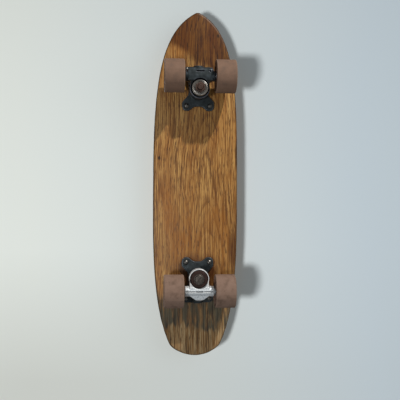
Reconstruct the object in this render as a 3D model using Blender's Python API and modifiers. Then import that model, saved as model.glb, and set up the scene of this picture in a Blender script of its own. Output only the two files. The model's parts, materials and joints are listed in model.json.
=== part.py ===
"""A vintage oak skateboard: pointed solid deck, two double-cushion trucks and four wheels.

Metres, +Z up. +X runs towards the pointed nose, +Y to the rider's left, and the
wheels stand on z = 0. Each truck is modelled in its own frame, whose +X points
away from the middle of the board, so the rear truck is the front one turned round.
"""
import math

import bmesh
import bpy
from mathutils import Vector

MM = 0.001
GAP = 0.3 * MM  # left between pieces that touch

# Deck: a flat oak board, its outline given by half of a closed Bezier curve.
DECK_THICKNESS = 15 * MM
DECK_UNDERSIDE = 75 * MM
DECK_EDGE_ROUND = 4 * MM
# One row per knot of the left half: position, then the arms towards the previous and the next knot.
DECK_OUTLINE = (
    ((306.2, 3.5), (-32, -66), (-32, 66)),  # pointed nose, which the edge rounding shortens
    ((9, 75), (174, 0), (-93, 0)),  # widest place
    ((-284, 45.5), (71, 33.5), (-10, -4.7)),  # tail corner
    ((-305, 1), (0, 20), (0, -20)),  # blunt tail
)

# Trucks: the distances are from the centre of the four mounting screws.
TRUCK_X = 170 * MM
TRUCK_Y = 3.8 * MM  # the trucks and the nose sit a little to the rider's left of the middle
SCREW_X = 31.75 * MM
SCREW_Y = 20.6 * MM
AXLE_X = 13.5 * MM
AXLE_Z = 28.5 * MM
KINGPIN_X = -6.5 * MM
KINGPIN_Z = 42 * MM  # where the steering axis crosses the kingpin
PIVOT_X = 26.5 * MM
PIVOT_Z = 62 * MM
STEER_RISE = math.atan2(PIVOT_Z - KINGPIN_Z, PIVOT_X - KINGPIN_X)

PLATE_THICKNESS = 6 * MM
PLATE_TOP = DECK_UNDERSIDE - GAP
# Half of the base plate's outline as (x, y, corner radius): square outboard end, waist, splayed ears.
PLATE_OUTBOARD = {"front": 37.2, "rear": 39.5}
PLATE_OUTLINE = (
    (20, 28.5, 9),
    (10, 17, 9),
    (-13, 17, 10),
    (-25, 28.5, 7),
    (-41, 27.5, 7),
    (-40.5, 16, 6),
    (-33, 7, 12),
)
KINGPIN_R = 4.7 * MM
CUSHION_R = {"front": 13.4 * MM, "rear": 15 * MM}
POCKET_R = 15.8 * MM
RING_R = 17.4 * MM
BARREL_R = 9 * MM
BARREL_HALF = 25 * MM
# Side view of the hanger's nose as (x, z), and its plan as (x, y, corner radius).
NOSE_TOP = ((19.5, 58), (12.5, 48), (-2, 44), (-2, 33), (6, 21))
NOSE_SIDE = {
    "front": NOSE_TOP + ((13.5, 19.5), (24, 20.5), (27.5, 24), (28, 33), (27, 44)),
    "rear": NOSE_TOP + ((13.5, 19.8), (28, 24.6), (31, 33), (29, 46)),
}
NOSE_PLAN = {
    "front": ((-8, 16.5, 0), (4.5, 16.5, 0), (6, 21.3, 0), (28.2, 21.3, 2)),
    "rear": ((-8, 16.5, 0), (21, 16.5, 3), (30.5, 3.5, 4)),
}
BARREL_SLOT = {"front": (7.5 * MM, 7 * MM), "rear": (0, 6 * MM)}  # outboard of the axle, half its length

# Wheels: 57 mm across and 34 mm wide on 608 bearings.
WHEEL_R = 28.5 * MM
WHEEL_WIDTH = 34 * MM
WHEEL_Y = 43.8 * MM
WHEEL_STEPS = 30  # a facet, not a ridge, meets the floor
AXLE_R = 3.9 * MM
AXLE_HALF = 58.5 * MM  # its ends stay inside the wheels' outer recesses
BEARING_WIDTH = 7 * MM
BEARING_HEIGHTS = {"outer": 4.2 * MM, "inner": -13.1 * MM}  # from the wheel's middle, outwards
BALL_COUNT = 7
BALL_R = 1.9 * MM
BALL_PITCH_R = 7.5 * MM

OAK = ((0.31, 0.16, 0.065), 0.42, 0.0)
DARK_CAST = ((0.028, 0.034, 0.036), 0.45, 0.6)
BRIGHT_CAST = ((0.55, 0.56, 0.56), 0.38, 1.0)
BLACK_RUBBER = ((0.015, 0.013, 0.012), 0.7, 0.0)
RED_RUBBER = ((0.055, 0.02, 0.014), 0.6, 0.0)
URETHANE = ((0.24, 0.14, 0.10), 0.62, 0.0)
STEEL = ((0.42, 0.40, 0.38), 0.35, 1.0)
RUSTY_STEEL = ((0.14, 0.07, 0.045), 0.6, 0.7)
GREY_STEEL = ((0.09, 0.085, 0.08), 0.5, 0.8)
BEARING_STEEL = ((0.5, 0.5, 0.5), 0.28, 1.0)


def make_collection(name):
    collection = bpy.data.collections.new(name)
    bpy.context.scene.collection.children.link(collection)
    return collection


def clear_scene():
    for obj in list(bpy.data.objects):
        bpy.data.objects.remove(obj, do_unlink=True)


clear_scene()
PARTS = make_collection("skateboard")
CUTTERS = make_collection("cutters")


def make_material(name, finish):
    colour, roughness, metallic = finish
    material = bpy.data.materials.get(name) or bpy.data.materials.new(name)
    material.use_nodes = True
    shader = material.node_tree.nodes["Principled BSDF"]
    shader.inputs["Base Color"].default_value = (*colour, 1.0)
    shader.inputs["Roughness"].default_value = roughness
    shader.inputs["Metallic"].default_value = metallic
    material.diffuse_color = (*colour, 1.0)
    return material


def make_empty(name, parent=None, location=(0, 0, 0), rotation=(0, 0, 0)):
    empty = bpy.data.objects.new(name, None)
    PARTS.objects.link(empty)
    empty.empty_display_size = 0.02
    empty.parent = parent
    empty.location = location
    empty.rotation_euler = rotation
    return empty


def finish_object(obj, parent, location=(0, 0, 0), rotation=(0, 0, 0), finish=None, slot=None):
    """Place an object under its parent; one with no finish is a helper for a Boolean."""
    obj.parent = parent
    obj.location = location
    obj.rotation_euler = rotation
    if finish is None:
        CUTTERS.objects.link(obj)
        obj.hide_render = True
        obj.display_type = "WIRE"
        return obj
    PARTS.objects.link(obj)
    obj.data.materials.clear()
    obj.data.materials.append(make_material(slot, finish))
    return obj


def mesh_object(name, build):
    """An object whose mesh the given function fills through bmesh."""
    mesh = bpy.data.meshes.new(name)
    bm = bmesh.new()
    build(bm)
    bm.to_mesh(mesh)
    bm.free()
    return bpy.data.objects.new(name, mesh)


def shade_round(obj, angle=35):
    for polygon in obj.data.polygons:
        polygon.use_smooth = True
    obj.data.set_sharp_from_angle(angle=math.radians(angle))


def cylinder(name, radius, bottom, top, sides=24, top_radius=None):
    """A cylinder or cone along local Z between two heights."""

    def build(bm):
        bmesh.ops.create_cone(
            bm,
            cap_ends=True,
            segments=sides,
            radius1=radius,
            radius2=radius if top_radius is None else top_radius,
            depth=top - bottom,
        )
        bmesh.ops.translate(bm, vec=(0, 0, (top + bottom) / 2), verts=bm.verts)

    obj = mesh_object(name, build)
    shade_round(obj)
    return obj


def box(name, low, high):
    def build(bm):
        bmesh.ops.create_cube(bm, size=1)
        size = Vector(high) - Vector(low)
        bmesh.ops.scale(bm, vec=size, verts=bm.verts)
        bmesh.ops.translate(bm, vec=(Vector(high) + Vector(low)) / 2, verts=bm.verts)

    return mesh_object(name, build)


def turned(name, profile, steps):
    """A profile of (radius, height) in mm turned about local Z.

    It runs down the outer side; one with no point on the axis is closed into a ring.
    """

    def build(bm):
        verts = [bm.verts.new((radius * MM, 0, height * MM)) for radius, height in profile]
        for first, second in zip(verts, verts[1:]):
            bm.edges.new((first, second))
        if profile[0][0] > 0:
            bm.edges.new((verts[-1], verts[0]))

    obj = mesh_object(name, build)
    screw = obj.modifiers.new("Turn", "SCREW")
    screw.axis = "Z"
    screw.steps = steps
    screw.render_steps = steps
    screw.use_merge_vertices = True
    screw.merge_threshold = 0.00001
    screw.use_smooth_shade = True
    return obj


def boolean(obj, other, operation="DIFFERENCE"):
    modifier = obj.modifiers.new(operation.title(), "BOOLEAN")
    modifier.operation = operation
    modifier.object = other


def rounded_corners(corners, steps=3):
    """The points of a closed polygon whose corners (x, y, radius), in mm, are rounded."""
    points = []
    for index, (x, y, radius) in enumerate(corners):
        here = Vector((x, y))
        before = (Vector(corners[index - 1][:2]) - here).normalized()
        after = (Vector(corners[(index + 1) % len(corners)][:2]) - here).normalized()
        if radius == 0:
            points.append(here)
            continue
        half = before.angle(after) / 2
        centre = here + (before + after).normalized() * radius / math.sin(half)
        start = here + before * radius / math.tan(half) - centre
        end = here + after * radius / math.tan(half) - centre
        turn = start.angle_signed(end)
        for step in range(steps + 1):
            angle = turn * step / steps
            cos, sin = math.cos(angle), -math.sin(angle)
            points.append(centre + Vector((start.x * cos - start.y * sin, start.x * sin + start.y * cos)))
    return points


def mirrored(half):
    """Both sides of an outline whose left half is given, in order round it."""
    right = [(x, -y, radius) for x, y, radius in reversed(half)]
    return list(half) + right


def flat_curve(name, thickness):
    curve = bpy.data.curves.new(name, "CURVE")
    curve.dimensions = "2D"
    curve.fill_mode = "BOTH"
    curve.extrude = thickness / 2
    return curve


def curve_to_mesh(name, curve):
    """The extruded curve as a closed mesh object with clean flat faces."""
    source = bpy.data.objects.new(name + "_curve", curve)
    bpy.context.scene.collection.objects.link(source)
    graph = bpy.context.evaluated_depsgraph_get()
    mesh = bpy.data.meshes.new_from_object(source.evaluated_get(graph))
    mesh.name = name
    bm = bmesh.new()
    bm.from_mesh(mesh)
    bmesh.ops.remove_doubles(bm, verts=bm.verts, dist=0.00001)
    flat = math.radians(0.5)
    bmesh.ops.dissolve_limit(bm, angle_limit=flat, verts=bm.verts, edges=bm.edges)
    bmesh.ops.recalc_face_normals(bm, faces=bm.faces)
    bm.to_mesh(mesh)
    bm.free()
    obj = bpy.data.objects.new(name, mesh)
    obj.matrix_world = source.matrix_world.copy()
    bpy.data.objects.remove(source, do_unlink=True)
    return obj


def slab(name, points, thickness):
    """A flat outline of points in mm, extruded evenly about its own plane."""
    curve = flat_curve(name, thickness)
    spline = curve.splines.new("POLY")
    spline.points.add(len(points) - 1)
    for target, point in zip(spline.points, points):
        target.co = (point[0] * MM, point[1] * MM, 0, 1)
    spline.use_cyclic_u = True
    return curve_to_mesh(name, curve)


def bevel(obj, width, segments=2, angle=40):
    modifier = obj.modifiers.new("Rounded edges", "BEVEL")
    modifier.width = width
    modifier.segments = segments
    modifier.limit_method = "ANGLE"
    modifier.angle_limit = math.radians(angle)


def screw_places():
    """World x, y of the eight mounting screws with the names of their truck and corner."""
    for truck, side in (("front", 1), ("rear", -1)):
        for end, x in (("outer", SCREW_X), ("inner", -SCREW_X)):
            for hand, y in (("left", SCREW_Y), ("right", -SCREW_Y)):
                yield f"{truck}_screw_{end}_{hand}", side * (TRUCK_X + x), TRUCK_Y + y


def build_deck():
    curve = flat_curve("deck", DECK_THICKNESS)
    curve.resolution_u = 10
    left = [(Vector(at), Vector(back), Vector(ahead)) for at, back, ahead in DECK_OUTLINE]
    flip = Vector((1, -1))
    right = [(at * flip, ahead * flip, back * flip) for at, back, ahead in reversed(left[1:-1])]
    knots = left + right
    spline = curve.splines.new("BEZIER")
    spline.bezier_points.add(len(knots) - 1)
    for target, (at, back, ahead) in zip(spline.bezier_points, knots):
        target.handle_left_type = "FREE"
        target.handle_right_type = "FREE"
        target.co = (at * MM).to_3d()
        target.handle_left = ((at + back) * MM).to_3d()
        target.handle_right = ((at + ahead) * MM).to_3d()
    spline.use_cyclic_u = True
    deck = curve_to_mesh("deck", curve)
    finish_object(deck, None, (0, 0, DECK_UNDERSIDE + DECK_THICKNESS / 2), finish=OAK, slot="oak")
    bevel(deck, DECK_EDGE_ROUND, segments=3)
    for name, x, y in screw_places():
        hole = cylinder(name + "_pilot", 2.4 * MM, -12 * MM, 12 * MM, sides=10)
        finish_object(hole, None, (x, y, DECK_UNDERSIDE))
        boolean(deck, hole)


def build_screws():
    """Round-head wood screws, driven up through the base plate into the oak."""
    profile = ((0, 17), (1.4, 15), (1.9, 13), (1.9, 0), (4.4, 0), (4.2, -1.2), (2.6, -2.3), (0, -2.7))
    seat = PLATE_TOP - PLATE_THICKNESS - GAP
    for name, x, y in screw_places():
        screw = turned(name, profile, 10)
        finish_object(screw, None, (x, y, seat), finish=STEEL, slot="screw_steel")


def build_baseplate(truck, label):
    outline = rounded_corners(mirrored(((PLATE_OUTBOARD[label], 28.5, 8), *PLATE_OUTLINE)))
    plate = slab(f"{label}_baseplate", outline, PLATE_THICKNESS)
    plate_z = PLATE_TOP - PLATE_THICKNESS / 2
    finish_object(plate, truck, (0, 0, plate_z), finish=DARK_CAST, slot="dark_cast_metal")
    bevel(plate, 0.9 * MM, segments=1, angle=50)
    at_kingpin = {"location": (KINGPIN_X, 0, KINGPIN_Z)}
    at_pivot = {"location": (PIVOT_X, 0, PIVOT_Z), "rotation": (0, math.pi / 2 - STEER_RISE, 0)}
    boss = cylinder(f"{label}_kingpin_boss", 13.4 * MM, 13.1 * MM, 31 * MM, 24, top_radius=16 * MM)
    socket_boss = cylinder(f"{label}_pivot_boss", 9.8 * MM, -3.2 * MM, 11 * MM, 24)
    for solid, place in ((boss, at_kingpin), (socket_boss, at_pivot)):
        finish_object(solid, truck, **place)
        boolean(plate, solid, "UNION")
    above = box(f"{label}_above_plate", (-0.07, -0.05, PLATE_TOP), (0.07, 0.05, PLATE_TOP + 0.03))
    kingpin_hole = cylinder(f"{label}_kingpin_hole", KINGPIN_R + GAP, 5 * MM, 45 * MM)
    head_recess = cylinder(f"{label}_head_recess", 9.2 * MM, 26.3 * MM, 45 * MM)
    socket = cylinder(f"{label}_pivot_socket", 7.3 * MM, -8 * MM, 7 * MM)
    finish_object(above, truck)
    finish_object(kingpin_hole, truck, **at_kingpin)
    finish_object(head_recess, truck, **at_kingpin)
    finish_object(socket, truck, **at_pivot)
    beyond = box(f"{label}_beyond_plate", (PLATE_OUTBOARD[label] * MM, -0.05, 0.02), (0.08, 0.05, 0.1))
    finish_object(beyond, truck)
    for cutter in (above, beyond, kingpin_hole, head_recess, socket):
        boolean(plate, cutter)
    for x in (SCREW_X, -SCREW_X):
        for y in (SCREW_Y, -SCREW_Y):
            hole = cylinder(f"{label}_screw_hole", 2.4 * MM, -8 * MM, 8 * MM, sides=10)
            finish_object(hole, truck, (x, y, plate_z))
            boolean(plate, hole)


def build_pivot_cup(truck, label):
    """The rubber liner in the base plate's socket, with a hemispherical seat for the ball."""
    profile = [(7, 6.7), (7, -3.2), (5, -3.2), (5, 0)]
    profile += [(5 * math.cos(a), 5 * math.sin(a)) for a in (0.4, 0.8, 1.2)]
    profile += [(0, 5)]
    profile = [(0, 6.7)] + profile
    cup = turned(f"{label}_pivot_cup", profile, 20)
    place = (PIVOT_X, 0, PIVOT_Z)
    tilt = (0, math.pi / 2 - STEER_RISE, 0)
    finish_object(cup, truck, place, tilt, BLACK_RUBBER, "black_rubber")


def build_kingpin_stack(truck, label):
    """What sits on the kingpin; heights are above the crossing with the steering axis."""
    frame = make_empty(f"{label}_kingpin_frame", truck, (KINGPIN_X, 0, KINGPIN_Z))
    rubber = (BLACK_RUBBER, "black_rubber") if label == "front" else (RED_RUBBER, "red_rubber")
    r = CUSHION_R[label] / MM
    lower = ((r - 0.8, -2.8), (r, -5), (r, -12.3), (r - 0.9, -14.3), (5.2, -14.3), (5.2, -2.8))
    upper = ((r - 1.2, 12.8), (r - 0.4, 11), (r - 0.4, 4.6), (r - 1.2, 2.8), (5.2, 2.8), (5.2, 12.8))
    for name, profile in (("lower_cushion", lower), ("upper_cushion", upper)):
        cushion = turned(f"{label}_{name}", profile, 24)
        finish_object(cushion, frame, finish=rubber[0], slot=rubber[1])
    if label == "front":
        # Hex head up in the base plate, shank down through a dished washer to a hex nut.
        kingpin = turned(
            f"{label}_kingpin",
            ((0, 31), (8, 31), (8, 26.6), (4.7, 26.6), (4.7, -24.6), (3.9, -25.6), (0, -25.6)),
            16,
        )
        finish_object(kingpin, frame, finish=RUSTY_STEEL, slot="rusty_steel")
        washer_profile = ((13.7, -14.6), (14, -16.2), (13, -17.6), (10.4, -17.9), (9.8, -16.2), (5.2, -16.2), (5.2, -14.6))
        washer = turned(f"{label}_cup_washer", washer_profile, 28)
        finish_object(washer, frame, finish=STEEL, slot="worn_steel")
        nut_heights = (-22.4 * MM, -16.5 * MM)
        nut_r = 9.2 * MM
        nut_finish = (RUSTY_STEEL, "rusty_steel")
    else:
        # Slotted head down against the cushion washer, shank up to a hex nut in the base plate.
        kingpin = turned(
            f"{label}_kingpin",
            ((0, 31.4), (4, 31.4), (4.7, 30.6), (4.7, -16.2), (8.4, -16.2), (8.4, -18), (7, -19.4), (0, -19.8)),
            20,
        )
        finish_object(kingpin, frame, finish=GREY_STEEL, slot="grey_steel")
        slot = box(f"{label}_kingpin_slot", (-0.02, -0.9 * MM, -22 * MM), (0.02, 0.9 * MM, -17.8 * MM))
        finish_object(slot, frame, rotation=(0, 0, math.radians(40)))
        boolean(kingpin, slot)
        washer_profile = ((9.4, -14.6), (9.4, -15.9), (5.2, -15.9), (5.2, -14.6))
        washer = turned(f"{label}_cup_washer", washer_profile, 24)
        finish_object(washer, frame, finish=GREY_STEEL, slot="grey_steel")
        nut_heights = (26.6 * MM, 30.8 * MM)
        nut_r = 8.3 * MM
        nut_finish = (STEEL, "worn_steel")
    nut = hex_nut(f"{label}_kingpin_nut", nut_r, *nut_heights, bore=KINGPIN_R + GAP)
    finish_object(nut, frame, finish=nut_finish[0], slot=nut_finish[1])
    bore = nut.modifiers["Difference"].object
    finish_object(bore, frame)


def hex_nut(name, radius, bottom, top, bore):
    nut = cylinder(name, radius, bottom, top, sides=6)
    hole = cylinder(name + "_bore", bore, bottom - 0.01, top + 0.01, sides=16)
    boolean(nut, hole)
    bevel(nut, 0.5 * MM, segments=1, angle=50)
    return nut


def build_hanger(truck, steering, label):
    """The casting that carries the axle: barrel, cushion ring, nose and pivot ball."""
    finish = (DARK_CAST, "dark_cast_metal") if label == "front" else (BRIGHT_CAST, "bright_cast_metal")
    along_y = (math.radians(-90), 0, 0)
    axle = Vector((AXLE_X, 0, AXLE_Z))
    at_kingpin = {"location": (KINGPIN_X, 0, KINGPIN_Z)}
    at_pivot = {"location": (PIVOT_X, 0, PIVOT_Z), "rotation": (0, math.pi / 2 - STEER_RISE, 0)}
    barrel = cylinder(f"{label}_hanger", BARREL_R, -BARREL_HALF, BARREL_HALF, 28)
    finish_object(barrel, steering, axle - Vector((KINGPIN_X, 0, KINGPIN_Z)), along_y, *finish)
    bevel(barrel, 1.2 * MM, segments=2)

    nose = slab(f"{label}_nose_side", NOSE_SIDE[label], 0.08)
    finish_object(nose, truck, rotation=(math.radians(90), 0, 0))
    plan = slab(f"{label}_nose_plan", rounded_corners(mirrored(NOSE_PLAN[label])), 0.08)
    finish_object(plan, truck, (0, 0, 0.04))
    boolean(nose, plan, "INTERSECT")
    ring = cylinder(f"{label}_ring", RING_R, -8.6 * MM, 5.4 * MM, 28)
    stem = cylinder(f"{label}_pivot_stem", 4 * MM, -15 * MM, 0)
    ball = mesh_object(
        f"{label}_pivot_ball",
        lambda bm: bmesh.ops.create_uvsphere(bm, u_segments=16, v_segments=8, radius=4.7 * MM),
    )
    collar = cylinder(f"{label}_collar", 6.2 * MM, -26.8 * MM, 26.8 * MM, 20)
    finish_object(ring, truck, **at_kingpin)
    finish_object(stem, truck, **at_pivot)
    finish_object(ball, truck, **at_pivot)
    finish_object(collar, truck, axle, along_y)
    for solid in (collar, nose, ring, stem, ball):
        boolean(barrel, solid, "UNION")

    lower_pocket = cylinder(f"{label}_lower_pocket", POCKET_R, -40 * MM, -2.5 * MM, 28)
    upper_pocket = cylinder(f"{label}_upper_pocket", POCKET_R, 2.5 * MM, 12 * MM, 28)
    web_hole = cylinder(f"{label}_web_hole", 7 * MM, -8 * MM, 8 * MM, 20)
    axle_hole = cylinder(f"{label}_axle_hole", AXLE_R + 0.2 * MM, -0.05, 0.05, 20)
    slot_out, slot_half = BARREL_SLOT[label]
    slot_low = (AXLE_X + slot_out - 1.3 * MM, -slot_half, 0.01)
    slot_high = (AXLE_X + slot_out + 1.3 * MM, slot_half, AXLE_Z - 5 * MM)
    slot = box(f"{label}_barrel_slot", slot_low, slot_high)
    finish_object(lower_pocket, truck, **at_kingpin)
    finish_object(upper_pocket, truck, **at_kingpin)
    finish_object(web_hole, truck, **at_kingpin)
    finish_object(axle_hole, truck, axle, along_y)
    finish_object(slot, truck)
    cutters = [lower_pocket, upper_pocket, web_hole, axle_hole, slot]
    if label == "rear":
        # The bright casting's barrel and nose meet at a groove that runs its whole length.
        groove_low = (AXLE_X - 0.9 * MM, -0.04, 0.01)
        groove = box(f"{label}_groove", groove_low, (AXLE_X + 0.9 * MM, 0.04, AXLE_Z - 7 * MM))
        finish_object(groove, truck)
        cutters.append(groove)
    for cutter in cutters:
        boolean(barrel, cutter)


def build_axle(axle_frame, label):
    end = AXLE_HALF / MM
    r = AXLE_R / MM
    profile = ((0, end), (r - 0.6, end), (r, end - 0.8), (r, 0.8 - end), (r - 0.6, -end), (0, -end))
    axle = turned(f"{label}_axle", profile, 20)
    finish_object(axle, axle_frame, finish=STEEL, slot="axle_steel")


def build_wheel(axle_frame, label, hand, side):
    """One wheel; local Z is the axle, with the wheel's outer face at +Z."""
    name = f"{label}_{hand}"
    flip = (0, 0, 0) if side > 0 else (math.pi, 0, 0)
    hub = make_empty(f"{name}_wheel_spin", axle_frame, (0, 0, side * WHEEL_Y), flip)
    half = WHEEL_WIDTH / MM / 2
    tread = WHEEL_R / MM / math.cos(math.pi / WHEEL_STEPS)
    rim = [(14, half - 0.2), (20, half - 1.6), (25.6, half), (tread, half - 2.8)]
    outer_face = [(8.2, 0.4), (11.1, 0.4), (11.1, 8), (12.6, 8.4), (12.6, half - 0.8)] + rim
    inner_face = [(8.2, 9.4), (11.1, 9.4), (11.1, half - 0.4)] + rim
    inner_face = [(radius, -height) for radius, height in reversed(inner_face)]
    tyre = turned(f"{name}_wheel", outer_face + inner_face, WHEEL_STEPS)
    finish_object(tyre, hub, finish=URETHANE, slot="rose_urethane")

    for place, facing in (("outer", 1), ("inner", -1)):
        turn = (0, 0, 0) if facing > 0 else (math.pi, 0, 0)
        seat = make_empty(f"{name}_{place}_bearing", hub, (0, 0, BEARING_HEIGHTS[place]), turn)
        h = BEARING_WIDTH / MM / 2
        race = [(10.8, h), (10.8, -h), (9.65, -h), (9.65, h - 0.5), (6.3, h - 0.5), (6.3, h - 0.1), (9.8, h)]
        race_object = turned(f"{name}_{place}_outer_race", race, 18)
        finish_object(race_object, seat, finish=BEARING_STEEL, slot="bearing_steel")
        inner = [(5.3, h), (5.3, -h), (4.15, -h), (4.15, h)]
        inner_object = turned(f"{name}_{place}_inner_race", inner, 16)
        finish_object(inner_object, seat, finish=BEARING_STEEL, slot="bearing_steel")
        build_ball_cage(f"{name}_{place}_ball_cage", seat)

    nut_low = BEARING_HEIGHTS["outer"] + BEARING_WIDTH / 2 + GAP
    nut = hex_nut(f"{name}_axle_nut", 7.4 * MM, nut_low, nut_low + 6 * MM, bore=AXLE_R + GAP)
    finish_object(nut, hub, finish=STEEL, slot="axle_steel")
    finish_object(nut.modifiers["Difference"].object, hub)


def build_ball_cage(name, seat):
    """Seven balls held by one pressed ribbon, joined into a single body."""
    pitch = BALL_PITCH_R / MM
    ribbon = [(pitch + 0.6, 0.7), (pitch + 0.6, -0.7), (pitch - 0.6, -0.7), (pitch - 0.6, 0.7)]
    cage = turned(name, ribbon, BALL_COUNT)

    def build(bm):
        for index in range(BALL_COUNT):
            angle = 2 * math.pi * index / BALL_COUNT
            made = bmesh.ops.create_uvsphere(bm, u_segments=6, v_segments=4, radius=BALL_R)
            offset = (BALL_PITCH_R * math.cos(angle), BALL_PITCH_R * math.sin(angle), 0)
            bmesh.ops.translate(bm, vec=offset, verts=made["verts"])

    balls = mesh_object(name + "_balls", build)
    finish_object(balls, seat)
    boolean(cage, balls, "UNION")
    finish_object(cage, seat, finish=BEARING_STEEL, slot="bearing_steel")


def build_truck(label, side):
    turn = (0, 0, 0) if side > 0 else (0, 0, math.pi)
    truck = make_empty(f"{label}_truck", None, (side * TRUCK_X, TRUCK_Y, 0), turn)
    steering = make_empty(f"{label}_steering", truck, (KINGPIN_X, 0, KINGPIN_Z))
    to_axle = (AXLE_X - KINGPIN_X, 0, AXLE_Z - KINGPIN_Z)
    axle_frame = make_empty(f"{label}_axle_frame", steering, to_axle, (math.radians(-90), 0, 0))
    build_baseplate(truck, label)
    build_pivot_cup(truck, label)
    build_kingpin_stack(truck, label)
    build_hanger(truck, steering, label)
    build_axle(axle_frame, label)
    # The rear truck's own +Y is the rider's right.
    for local_side in (1, -1):
        hand = "left" if local_side * side > 0 else "right"
        build_wheel(axle_frame, label, hand, local_side)


build_deck()
build_screws()
build_truck("front", 1)
build_truck("rear", -1)
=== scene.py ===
"""Vintage oak skateboard, seen from below: pointed deck, steering trucks and soft urethane wheels.

Laid out as an add-on: settings in property groups, one operator for each group of like pieces and one
for the stage, and a panel that lists them. Run as a script, it builds everything in order.
"""

import json
import math

import bmesh
import bpy
import numpy as np
from mathutils import Matrix, Vector, noise

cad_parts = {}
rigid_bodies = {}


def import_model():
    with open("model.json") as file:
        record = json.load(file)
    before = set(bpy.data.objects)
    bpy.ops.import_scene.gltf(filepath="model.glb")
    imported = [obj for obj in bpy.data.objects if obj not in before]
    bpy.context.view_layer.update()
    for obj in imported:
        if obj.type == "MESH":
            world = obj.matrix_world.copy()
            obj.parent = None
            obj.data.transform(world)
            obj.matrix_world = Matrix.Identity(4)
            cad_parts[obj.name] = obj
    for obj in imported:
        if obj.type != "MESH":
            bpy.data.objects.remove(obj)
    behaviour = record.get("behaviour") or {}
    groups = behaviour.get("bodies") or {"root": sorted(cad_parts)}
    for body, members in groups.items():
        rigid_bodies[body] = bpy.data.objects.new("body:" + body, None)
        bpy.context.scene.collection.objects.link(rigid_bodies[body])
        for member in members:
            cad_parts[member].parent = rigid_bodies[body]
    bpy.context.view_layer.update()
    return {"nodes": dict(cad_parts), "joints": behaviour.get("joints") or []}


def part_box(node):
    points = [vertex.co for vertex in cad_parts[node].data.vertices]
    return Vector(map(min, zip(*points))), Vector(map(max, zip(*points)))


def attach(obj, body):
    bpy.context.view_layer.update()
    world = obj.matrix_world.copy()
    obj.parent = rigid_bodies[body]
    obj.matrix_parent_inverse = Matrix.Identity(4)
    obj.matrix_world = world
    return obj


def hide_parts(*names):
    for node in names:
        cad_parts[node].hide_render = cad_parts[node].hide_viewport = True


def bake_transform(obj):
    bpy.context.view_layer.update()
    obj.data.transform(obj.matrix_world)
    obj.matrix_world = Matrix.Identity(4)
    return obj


bl_info = {
    "name": "Vintage Oak Skateboard",
    "version": (1, 0, 0),
    "blender": (4, 5, 0),
    "location": "3D View > Sidebar > Skateboard",
    "description": "Builds a vintage oak skateboard with its trucks, wheels and bearings",
    "category": "Add Mesh",
}

for startup_object in list(bpy.data.objects):
    bpy.data.objects.remove(startup_object, do_unlink=True)
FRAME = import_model()

MM = 0.001
TRUCKS = {"front": 1, "rear": -1}  # the side of the middle each truck stands on, along X
HANDS = {"left": 1, "right": -1}  # the side of the centreline each wheel stands on, along Y
BEARING_ENDS = ("outer", "inner")
JOINTS = {joint["name"]: joint for joint in FRAME["joints"]}
DECK_LOW, DECK_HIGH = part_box("deck")

# Marks on the deck's underside: middle, half length and half width in metres, colour and strength.
UNDERSIDE_MARKS = (
    ((-0.158, 0.004), (0.042, 0.055), "#4A2208", 0.85),  # oil from under the rear base plate
    ((-0.120, 0.070), (0.05, 0.012), "#4A2208", 0.7),  # where it has run to the edge
    ((0.055, 0.074), (0.036, 0.004), "#2E1B0C", 0.7),  # a long dent in the edge
    ((0.046, -0.0645), (0.0045, 0.003), "#241409", 0.9),  # a small pit
    ((0.264, 0.0395), (0.0045, 0.003), "#1D1006", 0.8),  # a small pit near the nose
)
CAMERA_PLACE = (-0.0215, -0.0865, -1.0663)  # about a metre under the board, a little to its right
CAMERA_RIGHT = (0.0038, 0.99657, -0.08271)
CAMERA_UP = (0.99998, -0.00331, 0.00602)
SENSOR_WIDTH = 36.0  # millimetres
THREAD_PITCH = 1.06  # millimetres, as cut on an 8 mm axle
BALL_COUNT = 7


# ---------------------------------------------------------------- settings


def length(name, description, default_mm):
    return bpy.props.FloatProperty(
        name=name, description=description, default=default_mm * MM, min=0.0, unit="LENGTH", precision=5
    )


def hue(name, description, default):
    described = description + ", as an sRGB hex value"
    return bpy.props.StringProperty(name=name, description=described, default=default)


def amount(name, description, default):
    return bpy.props.FloatProperty(name=name, description=description, default=default, min=0.0)


class SkateboardDeckSettings(bpy.types.PropertyGroup):
    edge_round: length("Edge rounding", "Radius worn and sanded onto both edges", 4.0)
    ring_spacing: length("Growth ring spacing", "Distance between two growth rings", 3.4)
    pith_height: length("Pith height", "How far above the floor the middle of the tree would lie", 128.0)
    pith_side: length("Pith offset", "How far to the rider's left the middle of the tree would lie", 22.0)
    pale: hue("Late wood", "Pale, dense part of a growth ring", "#C09253")
    brown: hue("Oak", "Overall colour of the varnished oak", "#996B37")
    dark: hue("Early wood", "Dark, open part of a growth ring", "#69431F")
    amber: hue("Old varnish", "Orange-brown where the varnish is thickest", "#93591F")
    # The nose tint is painted shade, multiplied over the wood.
    nose: hue("Nose shade", "Painted shade multiplied over the nose", "#A08A62")
    bare: hue("Bare oak", "Dry wood where the varnish has gone", "#A3855E")
    grime: hue("Grime", "Grey-black dirt worked into the tail", "#68614F")


class SkateboardWheelSettings(bpy.types.PropertyGroup):
    tread_round: length("Tread corner", "Rounding between the tread and each face", 2.6)
    face_dish: length("Face dish", "How far each face is hollowed", 1.7)
    urethane: hue("Urethane", "Dusty rose of the aged rear tyres", "#7D6153")
    front_urethane: hue("Front urethane", "Browner rose of the front tyres", "#62422F")
    # The rim colour is a painted highlight along the tread's corners.
    rim_highlight: hue("Rim", "Painted highlight along the tread's corners", "#8A7262")
    tread_dirt: hue("Tread dirt", "Brown dust in the tread", "#462F24")


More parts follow.
